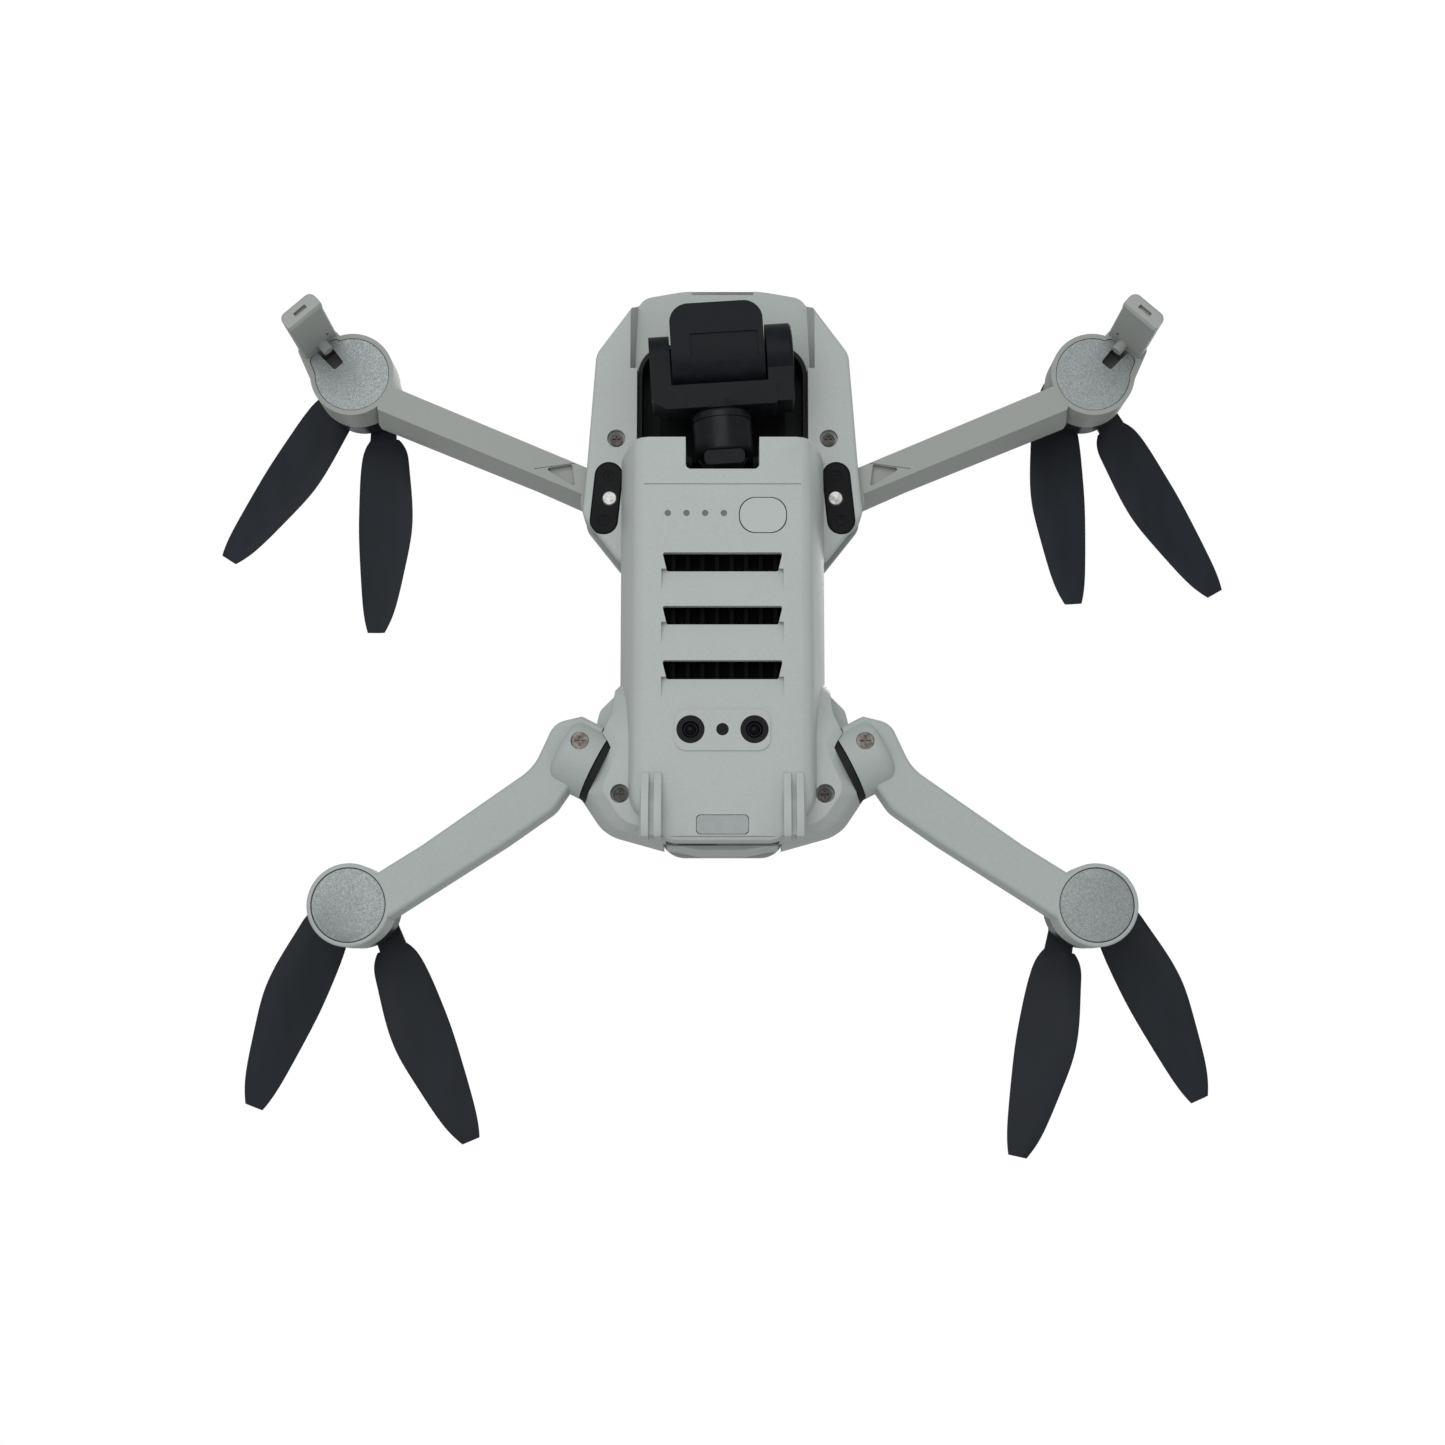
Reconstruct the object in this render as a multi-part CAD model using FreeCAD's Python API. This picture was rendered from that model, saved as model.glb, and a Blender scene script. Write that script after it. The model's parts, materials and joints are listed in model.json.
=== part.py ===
import FreeCAD, Part
import math
import os

# Folding quadcopter camera drone, in millimetres, standing on its front feet and rear ribs at z = 0.
# The nose points along -Y and the right side is +X. Everything is drawn about the body's own zero and
# then moved by ORIGIN_SHIFT_Y, which puts the origin on the ground under the middle of the whole drone.

# ---- Driving dimensions -----------------------------------------------------------------------
ORIGIN_SHIFT_Y = 3.2          # moves everything back so the origin is under the middle of the box

# Body
BELLY_Z = 4.0                 # underside of the belly
SHOULDER_Z = 23.6             # underside of the front shoulders and cheeks
SPLIT_Z = 26.4                # parting line between the lower and the upper shell
SEAM = 0.25                   # visible gap at the parting line
TOP_Z = 46.0                  # roof of the body
WALL = 1.5                    # shell thickness
FLOOR = 2.2                   # belly thickness, where the vents are
NOSE_Y = -105.9
TAIL_Y = 29.8
BELLY_FRONT_Y = -63.0         # front wall of the belly block
BELLY_HALF = 20.2             # half width of the belly's underside
WAIST_HALF = 23.6             # half width of the waist at the parting line
SPINE_HALF = 18.3             # half width of the upper shell between the folded arms
POCKET_FRONT_Y = -63.2        # front wall of the pocket that holds a front arm's root
POCKET_REAR_Y = -40.5         # behind this the upper shell is only as wide as the spine
ROOF_Z = 38.5                 # underside of the roof over a front arm's root

# Gimbal bay
BAY_HALF = 20.2
BAY_FRONT_Y = -91.5
NOTCH_HALF = 8.35
NOTCH_REAR_Y = -55.6
BAY_TOP_Z = 38.0
SCOOP_HALF = (21.8, 19.9)     # half width of the hollow under the nose at its foot and its ceiling
SCOOP_REAR_Y = -85.0
SCOOP_Z = (27.2, 30.4)        # its ceiling at the bay and at the nose

# Front arms, right side
FRONT_PIVOT = (26.5, -53.5)
FRONT_MOTOR = (88.2, -84.5)
FRONT_ARM_Z = (27.0, 38.1)
PIN_R = 1.75
PIN_PLAY = 0.06

# Rear arms, right side
REAR_HINGE = (27.3, 11.1, 18.0)
REAR_HINGE_ANGLE = -27.0      # direction of the hinge axis, outward and forward
REAR_MOTOR = (83.9, 42.1)
REAR_ARM_Z = (13.5, 24.0)
HUB_R = 8.4
HUB_CORNER_R = 10.4           # reach of the arm's corners around the hinge axis
SEAL_THICK = 1.5
REAR_PIN_R = 2.0

# Motors: heights are above the underside of the motor cover
POD_R = {"front": 9.95, "rear": 9.4}      # outer radius of the cup at an arm's end
COVER_R = {"front": 8.7, "rear": 8.3}
COVER_THICK = 1.2
POD_HEIGHT = 11.1
BELL_R = 9.2
BELL_Z = (12.6, 21.0)
SEAT_TOP = 22.3
BLADE_PIVOT_R = 6.3
BLADE_ROOT_THICK = 1.9
SCREW_HEAD_TOP = 25.5

# Landing legs
LEG_ANGLE = -48.7             # direction of the right leg from its motor
LEG_SHIFT = 1.0
LEG_WIDTH = 9.5
LEG_ROOT = (9.9, 13.7)        # inner and outer distance from the motor at the root
LEG_FOOT = (7.7, 12.0)        # the same at the ground

# Gimbal, in a frame turned a little to the side about its upright axis
YAW_AXIS = (0.0, -67.0)
YAW_REST = -3.6
ROLL_Z = 13.5
PITCH_Y = -84.5
PITCH_Z = 14.0
CAMERA_HALF = 10.7            # half width of the camera housing
CAMERA_BACK_R = 7.3           # radius of its rounded back, and half its height
CAMERA_FRONT_Y = -95.6
PITCH_MOTOR_R = 7.0
YOKE_FRONT_Y = -76.9          # front of the yoke's crossbar, just behind the camera

# Small parts of the belly
BUTTON_AT = (9.1, -44.95)
BUTTON_SIZE = (10.4, 7.9)
LIGHT_XS = (-12.3, -8.1, -3.9, 0.3)
LIGHT_Y = -45.4
VENTS = ((-36.4, -32.3), (-24.2, -20.2), (-11.9, -7.8))
VENT_HALF = 13.5
LENS_X = 7.1
LENS_Y = 3.65
BODY_SCREWS = ((25.0, -67.9, 26.2), (23.0, 17.4, 13.0))   # x, y and height of each screw head
PLATE_SCREWS = ((26.7, -58.9), (27.8, -48.2))
ARM_SCREW = (32.1, 5.4)
ARM_SCREW_HEAD_TOP = 11.9

# Tail
HATCH_HALF = 13.4
HATCH_BOTTOM = 13.0
HATCH_TOP = 39.0
PORT_HALF = 12.6
PORT_Z = (6.6, 12.2)

PROPELLERS = {
    # name: side, front or rear, blade A's pivot angle, directions of blades A and B, pitch sense
    "front_left": (-1, True, 229.3, 122.9, 90.7, 1),
    "front_right": (1, True, 21.3, 60.0, 86.1, -1),
    "rear_left": (-1, False, 220.0, 112.1, 67.3, -1),
    "rear_right": (1, False, -47.2, 64.9, 102.1, 1),
}


# ---- Helpers ----------------------------------------------------------------------------------
def vec(x, y, z=0.0):
    return FreeCAD.Vector(x, y, z)


UP = vec(0, 0, 1)
ORIGIN = vec(0, 0, 0)


def outline(corners, z=0.0):
    """A closed wire through corners (x, y, radius), each rounded by its radius."""
    count = len(corners)
    entries, exits, arcs = [], [], []
    for i, (x, y, radius) in enumerate(corners):
        here = vec(x, y, z)
        back = vec(corners[i - 1][0], corners[i - 1][1], z) - here
        ahead = vec(corners[(i + 1) % count][0], corners[(i + 1) % count][1], z) - here
        back.normalize()
        ahead.normalize()
        if radius == 0:
            entries.append(here)
            exits.append(here)
            arcs.append(None)
            continue
        half = back.getAngle(ahead) / 2
        reach = radius / math.tan(half)
        middle = back + ahead
        middle.normalize()
        entries.append(here + back * reach)
        exits.append(here + ahead * reach)
        arcs.append(here + middle * (radius / math.sin(half) - radius))
    edges = []
    for i in range(count):
        if arcs[i] is not None:
            edges.append(Part.Arc(entries[i], arcs[i], exits[i]).toShape())
        start, end = exits[i], entries[(i + 1) % count]
        if (end - start).Length > 1e-6:
            edges.append(Part.makeLine(start, end))
    return Part.Wire(edges)


def both_sides(half):
    """Mirror the corners of a right-hand half outline to make the whole one."""
    left = [(-x, y, r) for x, y, r in reversed(half) if x > 0]
    return list(half) + left


def slab(corners, z0, z1):
    return Part.Face(outline(corners, z0)).extrude(vec(0, 0, z1 - z0))


def loft(levels):
    """A solid through outlines given as (z, corners), all with as many corners."""
    return Part.makeLoft([outline(corners, z) for z, corners in levels], True, True)


def rect(x0, y0, x1, y1, radius=0.0):
    return [(x0, y0, radius), (x1, y0, radius), (x1, y1, radius), (x0, y1, radius)]


def box(x0, y0, z0, x1, y1, z1):
    return Part.makeBox(x1 - x0, y1 - y0, z1 - z0, vec(x0, y0, z0))


def rod(x, y, z0, z1, radius):
    return Part.makeCylinder(radius, z1 - z0, vec(x, y, z0), UP)


def tube(x, y, z0, z1, outer, inner):
    return rod(x, y, z0, z1, outer).cut(rod(x, y, z0, z1, inner))


def turned(profile, x=0.0, y=0.0):
    """Turn a closed profile of (radius, z) points about an upright axis."""
    points = [vec(x + r, y, z) for r, z in profile]
    wire = Part.makePolygon(points + [points[0]])
    return Part.Face(wire).revolve(vec(x, y, 0), UP, 360)


def mirrored(shape):
    return shape.mirror(ORIGIN, vec(1, 0, 0))


def turn(shape, degrees, centre=ORIGIN, axis=UP):
    copy = shape.copy()
    copy.rotate(centre, axis, degrees)
    return copy


def moved(shape, x, y, z=0.0):
    copy = shape.copy()
    copy.translate(vec(x, y, z))
    return copy


def fused(shapes):
    return shapes[0].multiFuse(list(shapes[1:])).removeSplitter()


def on_side(shape, side):
    """Right-hand shapes are drawn once: side 1 keeps them, side -1 mirrors them."""
    return shape if side > 0 else mirrored(shape)


def edges_where(shape, test):
    return [edge for edge in shape.Edges if test(edge.BoundBox)]


def rounded_top(shape, z, radius):
    """Round the outer edges that lie in the plane at height z."""
    rim = edges_where(shape, lambda b: abs(b.ZMin - z) < 1e-4 and abs(b.ZMax - z) < 1e-4)
    return shape.makeFillet(radius, rim)


def save(name, shapes):
    shapes = shapes if isinstance(shapes, list) else [shapes]
    solids = [moved(solid, 0, ORIGIN_SHIFT_Y) for shape in shapes for solid in shape.Solids]
    for solid in solids:
        if not solid.isValid() or solid.Volume <= 0:
            print("BAD SOLID", name)
    whole = solids[0] if len(solids) == 1 else Part.makeCompound(solids)
    whole.exportStep("parts/" + name + ".step")


# ---- Body outlines ----------------------------------------------------------------------------
def nose_corners(inset):
    """Plan of the nose and shoulders, back to the pocket's rear."""
    return both_sides([
        (9.0, NOSE_Y + inset, 25.0),
        (18.6 - 0.4 * inset, NOSE_Y + 1.8 + inset, 4.0),
        (29.9 - inset, -88.6 + 0.4 * inset, 5.0),
        (32.0 - inset, -60.0, 20.0),
        (32.9 - inset, -49.5, 3.5),
        (24.6 - inset, -39.0, 5.0),
        (20.0 - inset, -36.0, 2.0),
    ])


def waist_corners(half, front, rear, tail_half, radius=3.0):
    return both_sides([(half, front, radius), (half, rear - 9.0, 8.0), (tail_half, rear, 6.0)])


def bulge_corners(grow):
    """Plan of the rear body around the hinges."""
    return both_sides([
        (19.0, -12.0, 1.0),
        (23.2 + grow, -9.0 - 1.6 * grow, 3.0),
        (28.6 + grow, -3.6 - 1.6 * grow, 3.0),
        (33.2 + grow, 16.4, 4.0),
        (27.0 + grow, 25.6, 8.0),
        (12.4, TAIL_Y + 0.1 + grow, 12.0),
    ])


def bay_corners(inset, front=BAY_FRONT_Y):
    """Plan of the gimbal bay with the notch for the roll motor behind it."""
    return both_sides([
        (BAY_HALF - inset, front + inset, 7.5 - inset),
        (BAY_HALF - inset, BELLY_FRONT_Y - inset, 1.0),
        (NOTCH_HALF - inset, BELLY_FRONT_Y - inset, 0.4),
        (NOTCH_HALF - inset, NOTCH_REAR_Y - inset, 1.2),
    ])


def scoop():
    """The hollow under the nose, in front of the bay."""
    low, high = SCOOP_Z
    foot, ceiling = SCOOP_HALF
    front = NOSE_Y - 3
    side = [vec(-foot, SCOOP_REAR_Y, 20), vec(-foot, SCOOP_REAR_Y, low), vec(-foot, front, high),
            vec(-foot, front, 20)]
    wedge = Part.Face(Part.makePolygon(side + [side[0]])).extrude(vec(2 * foot, 0, 0))
    across = [vec(-foot, front, 20), vec(-foot, front, SHOULDER_Z), vec(-ceiling, front, high),
              vec(ceiling, front, high), vec(foot, front, SHOULDER_Z), vec(foot, front, 20)]
    channel = Part.Face(Part.makePolygon(across + [across[0]])).extrude(vec(0, SCOOP_REAR_Y - front, 0))
    return wedge.common(channel)


def hinge_cut(side):
    """Room for a rear arm's hub, and below the flank plate for the swinging arm."""
    hub = Part.makeCylinder(HUB_R + 0.3, 40, vec(-0.05, 0, 0), vec(1, 0, 0))
    shoulder = Part.makeCylinder(HUB_CORNER_R + 0.3, 40, vec(3.4, 0, 0), vec(1, 0, 0))
    swing = [(3.4, 0.0), (3.4, 12.6), (9.6, 24.6), (12.6, 30.0), (40.0, 30.0), (40.0, 0.0)]
    points = [vec(along, radius, 0) for along, radius in swing]
    sweep = Part.Face(Part.makePolygon(points + [points[0]])).revolve(ORIGIN, vec(1, 0, 0), 360)
    sweep = sweep.common(box(-50, -50, -50, 50, 50, REAR_ARM_Z[1] + 0.5 - REAR_HINGE[2]))
    return along_hinge(hub.fuse(shoulder).fuse(sweep), side)


def along_hinge(shape, side):
    """Place a shape drawn with the hinge axis along X."""
    placed = moved(turn(shape, REAR_HINGE_ANGLE), *REAR_HINGE)
    return on_side(placed, side)


def hinge_rod(start, end, radius, side):
    return along_hinge(Part.makeCylinder(radius, end - start, vec(start, 0, 0), vec(1, 0, 0)), side)


# ---- Shells -----------------------------------------------------------------------------------
def upper_shell():
    nose = rounded_top(slab(nose_corners(0), SPLIT_Z, TOP_Z), TOP_Z, 5.5)
    spine = slab(waist_corners(SPINE_HALF, -60.0, TAIL_Y, 12.0), SPLIT_Z, TOP_Z)
    spine = rounded_top(spine, TOP_Z, 5.0)
    outer = nose.fuse(spine)
    # The roof slopes down to the nose
    slope = [vec(-40, -74, TOP_Z + 0.01), vec(-40, -110, TOP_Z - 6.5), vec(-40, -110, TOP_Z + 10),
             vec(-40, -74, TOP_Z + 10)]
    outer = outer.cut(Part.Face(Part.makePolygon(slope + [slope[0]])).extrude(vec(80, 0, 0)))
    for side in (-1, 1):
        pocket = box(SPINE_HALF, POCKET_FRONT_Y, SPLIT_Z - 1, 40, POCKET_REAR_Y + 8, ROOF_Z)
        outer = outer.cut(on_side(pocket, side))
    outer = outer.cut(scoop())
    outer = outer.cut(slab(bay_corners(0), SPLIT_Z - 1, BAY_TOP_Z))
    # Hollow inside
    nose_room = slab(both_sides([(15.5, -100.5, 3.0), (27.2, -87.2, 4.0), (29.0, -64.8, 1.0)]), 33.0, 38.8)
    cheek_room = slab(both_sides([(28.0, SCOOP_REAR_Y + 0.8, 2.0), (29.2, -64.8, 1.0)]), SPLIT_Z - 1, 38.8)
    spine_room = slab(waist_corners(SPINE_HALF - WALL, -66.0, TAIL_Y - WALL, 10.0, 1.0),
                      SPLIT_Z - 1, TOP_Z - WALL)
    for room in (nose_room, cheek_room, spine_room):
        outer = outer.cut(room)
    for side in (-1, 1):
        boss = on_side(rod(BODY_SCREWS[0][0], BODY_SCREWS[0][1], SPLIT_Z, 39.0, 2.6), side)
        outer = outer.fuse(boss)
        outer = outer.cut(on_side(rod(BODY_SCREWS[0][0], BODY_SCREWS[0][1], 20, 35.0, 1.05), side))
        outer = outer.cut(on_side(rod(*FRONT_PIVOT, 30, 43.0, PIN_R), side))
    outer = outer.cut(front_light_shape())
    outer = outer.cut(box(-HATCH_HALF, TAIL_Y - 4, SPLIT_Z - 1, HATCH_HALF, TAIL_Y + 2, HATCH_TOP))
    outer = outer.cut(box(-30, NOTCH_REAR_Y + 30, SPLIT_Z - 1, 30, 40, SPLIT_Z + SEAM))
    return outer.removeSplitter()


def belly_levels():
    """Belly block: rounded lower edges, flaring to the waist."""
    rear = TAIL_Y - 0.6
    levels = []
    for z, half, back in ((BELLY_Z, BELLY_HALF - 2.4, 2.0), (BELLY_Z + 0.5, BELLY_HALF - 1.0, 1.0),
                          (BELLY_Z + 1.6, BELLY_HALF, 0.4), (16.0, 22.6, 0.0), (22.0, WAIST_HALF, 0.0),
                          (SPLIT_Z, WAIST_HALF, 0.0)):
        levels.append((z, waist_corners(half, BELLY_FRONT_Y, rear - back, 13.0, 1.2)))
    return levels


def lower_shell():
    notch = slab(rect(-NOTCH_HALF, BELLY_FRONT_Y - 3, NOTCH_HALF, NOTCH_REAR_Y, 1.2), 0, SPLIT_Z + 1)
    belly = loft(belly_levels()).cut(notch)
    shoulders = slab(nose_corners(0), SHOULDER_Z, SPLIT_Z)
    shoulders = rounded_top(shoulders, SHOULDER_Z, 1.0).cut(slab(bay_corners(0), 0, SPLIT_Z + 1))
    bulge = loft([(9.4, bulge_corners(-6.0)), (12.5, bulge_corners(-2.6)), (17.0, bulge_corners(-0.6)),
                  (21.0, bulge_corners(0)), (SPLIT_Z, bulge_corners(-0.3))])
    outer = belly.fuse(shoulders).fuse(bulge)
    outer = outer.cut(scoop())
    # Raised pad around the downward lenses, and the rear ribs
    outer = outer.fuse(slab(rect(-10.6, -0.8, 10.6, 8.4, 2.6), BELLY_Z - 0.35, BELLY_Z + 1))
    for side in (-1, 1):
        outer = outer.fuse(on_side(rib_pair(), side))
        outer = outer.cut(hinge_cut(side))
    # Hollow inside
    room = loft([(BELLY_Z + FLOOR, waist_corners(17.6, -53.4, 27.0, 10.0, 1.0)),
                 (16.0, waist_corners(20.8, -53.4, 28.0, 11.0, 1.0)),
                 (SPLIT_Z + 1, waist_corners(21.6, -53.4, 28.6, 11.5, 1.0))])
    outer = outer.cut(room)
    for side in (-1, 1):
        outer = outer.fuse(hinge_rod(-7.0, -0.05, 4.6, side))
        outer = cut_shoulder(outer, side)
        outer = outer.cut(hinge_rod(-6.0, 0.1, REAR_PIN_R, side))
    outer = cut_belly_details(outer)
    outer = outer.cut(box(-HATCH_HALF, TAIL_Y - 4, HATCH_BOTTOM, HATCH_HALF, TAIL_Y + 2, 30))
    return outer.cut(slab(rect(-PORT_HALF, 27.0, PORT_HALF, TAIL_Y + 2), PORT_Z[0], PORT_Z[1]))


def rib_pair():
    """Two rounded rear ribs with a shallow saddle between them."""
    parts = []
    for x in (14.3, 17.1):
        side_view = [vec(x - 0.8, 12.6, BELLY_Z + 1), vec(x - 0.8, 13.4, BELLY_Z - 0.6),
                     vec(x - 0.8, 18.5, 0.9), vec(x - 0.8, 21.0, 0.0), vec(x - 0.8, 26.2, 0.0),
                     vec(x - 0.8, 27.6, 0.8), vec(x - 0.8, 28.3, BELLY_Z), vec(x - 0.8, 28.3, BELLY_Z + 2.2)]
        rib = Part.Face(Part.makePolygon(side_view + [side_view[0]])).extrude(vec(1.6, 0, 0))
        parts.append(rib)
    parts.append(loft([(1.6, rect(13.7, 20.5, 17.7, 27.2, 0.6)),
                       (BELLY_Z + 1.2, rect(12.9, 14.0, 18.5, 28.0, 0.6))]))
    return fused(parts)


def plate_corners(shrink):
    """Plan of the oval plate under a front shoulder, right side."""
    (x0, y0), (x1, y1) = PLATE_SCREWS
    return [(x0, y0), (x1, y1), 3.25 - shrink]


def oval(shrink, z0, z1):
    (x0, y0), (x1, y1), radius = plate_corners(shrink)
    length = math.hypot(x1 - x0, y1 - y0)
    angle = math.degrees(math.atan2(y1 - y0, x1 - x0))
    middle = slab(rect(0, -radius, length, radius), z0, z1)
    body = fused([middle, rod(0, 0, z0, z1, radius), rod(length, 0, z0, z1, radius)])
    return moved(turn(body, angle), x0, y0)


def cut_shoulder(shell, side):
    """Seat of the oval plate, pin bore and screw holes in a front shoulder."""
    shell = shell.fuse(on_side(rod(*FRONT_PIVOT, SHOULDER_Z + 1.2, SPLIT_Z, 4.2), side))
    shell = shell.cut(on_side(oval(-0.1, SHOULDER_Z - 2, SHOULDER_Z + 1.3), side))
    shell = shell.cut(on_side(rod(*FRONT_PIVOT, 20, SPLIT_Z + 1, PIN_R), side))
    for x, y in PLATE_SCREWS:
        shell = shell.cut(on_side(rod(x, y, SHOULDER_Z, SPLIT_Z - 0.3, 0.7), side))
    x, y = BODY_SCREWS[0][:2]
    shell = shell.cut(on_side(rod(x, y, SHOULDER_Z - 1, SPLIT_Z - 0.8, 2.15), side))
    shell = shell.cut(on_side(rod(x, y, 20, SPLIT_Z + 1, 1.1), side))
    x, y, head_z = BODY_SCREWS[1]
    shell = shell.fuse(on_side(rod(x, y, head_z, SPLIT_Z - 2, 3.0).cut(rod(x, y, 0, 30, 1.1)), side))
    shell = shell.cut(on_side(rod(x, y, 0, head_z, 2.15), side))
    return shell.cut(on_side(rod(x, y, head_z, head_z + 7.0, 1.05), side))


def cut_belly_details(shell):
    for front, rear in VENTS:
        slot = slab([(-VENT_HALF, front, 0.5), (VENT_HALF, front, 0.5), (VENT_HALF - 1.0, rear, 0.5),
                     (1.0 - VENT_HALF, rear, 0.5)], 0, BELLY_Z + FLOOR + 0.5)
        ramp = [vec(-VENT_HALF - 0.2, rear - 0.4, BELLY_Z + 1.5), vec(-VENT_HALF - 0.2, rear + 4.6, BELLY_Z),
                vec(-VENT_HALF - 0.2, rear + 4.6, 0), vec(-VENT_HALF - 0.2, rear - 0.4, 0)]
        ramp = Part.Face(Part.makePolygon(ramp + [ramp[0]])).extrude(vec(2 * VENT_HALF + 0.4, 0, 0))
        shell = shell.cut(slot).cut(ramp)
    for x in LIGHT_XS:
        shell = shell.cut(rod(x, LIGHT_Y, 0, BELLY_Z + 4, 0.72))
    shell = shell.cut(button_shape(0.2, 0, BELLY_Z + 4))
    for x in (-LENS_X, LENS_X):
        shell = shell.cut(rod(x, LENS_Y, 0, BELLY_Z + 4, 3.15))
    shell = shell.cut(rod(0, LENS_Y, 0, BELLY_Z + 4, 1.4))
    shell = shell.cut(status_window_shape(0.0, 0, BELLY_Z + 4))
    # Fine seams in the belly
    shell = shell.cut(box(-17.7, -52.2, 0, 17.7, -52.0, BELLY_Z + 0.35))
    shell = shell.cut(box(-13.6, 27.35, 0, 13.6, 27.55, BELLY_Z + 0.4))
    return shell


def button_shape(gap, z0, z1):
    (x, y), (length, width) = BUTTON_AT, BUTTON_SIZE
    return slab(rect(x - length / 2 - gap, y - width / 2 - gap, x + length / 2 + gap,
                     y + width / 2 + gap, width / 2 - 0.3), z0, z1)


def status_window_shape(shrink, z0, z1):
    return slab(rect(-5.85 + shrink, 22.6 + shrink, 5.85 - shrink, 27.0 - shrink, 1.0), z0, z1)


def front_light_shape():
    return box(-7.4, NOSE_Y - 1.0, SCOOP_Z[1] - 1.0, 7.4, NOSE_Y + 0.9, SCOOP_Z[1] + 0.9)


# ---- Fixed parts inside and on the body ---------------------------------------------------------
def inner_frame():
    tray = box(-16.6, -50.0, 12.6, 16.6, 17.4, 30.0).cut(box(-15.7, -51.0, 13.6, 15.7, 20.0, 31.0))
    for y in (-44, -32, -20, -8, 4):
        tray = tray.cut(box(-20, y, 16.0, 20, y + 7.0, 27.0))
    tray = tray.cut(box(-11.0, -46.0, 10.0, 11.0, 18.0, 14.0))
    return tray


def battery_pack():
    body = slab(rect(-15.4, -46.0, 15.4, 20.8, 2.0), 13.9, 31.0)
    latch = slab(rect(-6.0, 20.0, 6.0, 25.0, 1.0), 20.0, 27.0)
    terminals = fused([box(x, -48.0, 17.0, x + 1.6, -45.9, 23.0) for x in (-9.0, -5.0, 3.4, 7.4)]
                      + [box(-10.0, -46.4, 16.0, 10.0, -45.9, 24.0)])
    return fused([body, latch, terminals])


def main_board():
    board = box(-15.6, -51.5, 33.4, 15.6, 20.0, 34.4)
    chips = [box(-9.0, -44.0, 34.4, 3.0, -32.0, 36.0), box(-4.0, -22.0, 34.4, 8.0, -12.0, 35.8),
             box(6.0, -44.0, 34.4, 13.0, -37.0, 35.6), box(-12.0, -8.0, 34.4, -4.0, 2.0, 37.2)]
    return fused([board] + chips)


def heat_sink():
    base = box(-14.8, -39.0, 10.6, 14.8, -5.0, 12.0)
    fins = [box(-14.8 + step * 3.28, -39.0, 6.8, -13.9 + step * 3.28, -5.0, 10.7) for step in range(10)]
    return fused([base] + fins)


def gps_module():
    return fused([box(-11.0, 2.0, 38.0, 11.0, 18.0, 39.2), slab(rect(-9.0, 3.4, 9.0, 16.6, 1.0), 39.1, 43.4)])


def gimbal_bay_liner():
    shell = slab(bay_corners(0.12), SPLIT_Z - 0.2, BAY_TOP_Z).cut(
        slab(bay_corners(1.1), SPLIT_Z - 1.0, BAY_TOP_Z - 1.0))
    return shell


def gimbal_damper_plate():
    plate = slab(rect(-15.0, -83.5, 15.0, -64.5, 4.0), 33.0, 34.2)
    return plate.cut(rod(*YAW_AXIS, 30, 40, 3.0))


def damper_balls():
    balls = []
    for x in (-11.6, 11.6):
        for y in (-80.0, -67.2):
            balls.append(turned([(0, 34.2), (1.4, 34.2), (2.3, 35.0), (2.3, 36.2), (1.4, 37.0), (0, 37.0)], x, y))
    return balls


def gimbal_yaw_motor():
    x, y = YAW_AXIS
    can = tube(x, y, 28.6, 33.0, 6.6, 1.6)
    return can.cut(tube(x, y, 28.0, 29.4, 5.6, 3.0))


def pivot_plate():
    plate = oval(0, SHOULDER_Z, SHOULDER_Z + 1.2)
    plate = plate.makeFillet(0.4, edges_where(plate, lambda b: b.ZMax < SHOULDER_Z + 1e-4))
    plate = plate.cut(rod(*FRONT_PIVOT, 20, 30, PIN_R))
    for x, y in PLATE_SCREWS:
        plate = plate.cut(rod(x, y, 20, 30, 0.75)).cut(rod(x, y, 20, SHOULDER_Z + 0.5, 1.3))
    return plate


def front_pivot_pin():
    pin = rod(*FRONT_PIVOT, SHOULDER_Z - 0.25, 42.8, PIN_R)
    return pin.makeChamfer(0.25, edges_where(pin, lambda b: b.ZMax < SHOULDER_Z))


def screw(x, y, head_bottom, head_height, head_r, shank_top, shank_r):
    """A screw driven upward, with a cross recess in its head."""
    body = rod(x, y, head_bottom, head_bottom + head_height, head_r)
    body = body.fuse(rod(x, y, head_bottom + head_height, shank_top, shank_r))
    for length, width in ((head_r * 0.6, 0.22), (0.22, head_r * 0.6)):
        recess = box(x - length, y - width, head_bottom - 1, x + length, y + width,
                     head_bottom + head_height * 0.6)
        body = body.cut(recess)
    return body


def shell_screws():
    screws = []
    for side in (-1, 1):
        for x, y in PLATE_SCREWS:
            screws.append(on_side(screw(x, y, SHOULDER_Z + 0.1, 0.4, 1.2, SPLIT_Z - 0.6, 0.7), side))
        x, y = BODY_SCREWS[0][:2]
        screws.append(on_side(screw(x, y, SPLIT_Z - 1.7, 0.9, 1.5, 33.0, 1.05), side))
        x, y, top = BODY_SCREWS[1]
        screws.append(on_side(screw(x, y, top - 1.0, 1.0, 1.5, top + 6.5, 1.05), side))
    return screws


def rear_hinge_seal(side):
    ring = Part.makeCylinder(HUB_R, SEAL_THICK - 0.1, vec(0, 0, 0), vec(1, 0, 0))
    ring = ring.cut(Part.makeCylinder(REAR_PIN_R + 1.5, 4, vec(-1, 0, 0), vec(1, 0, 0)))
    return along_hinge(ring, side)


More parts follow.
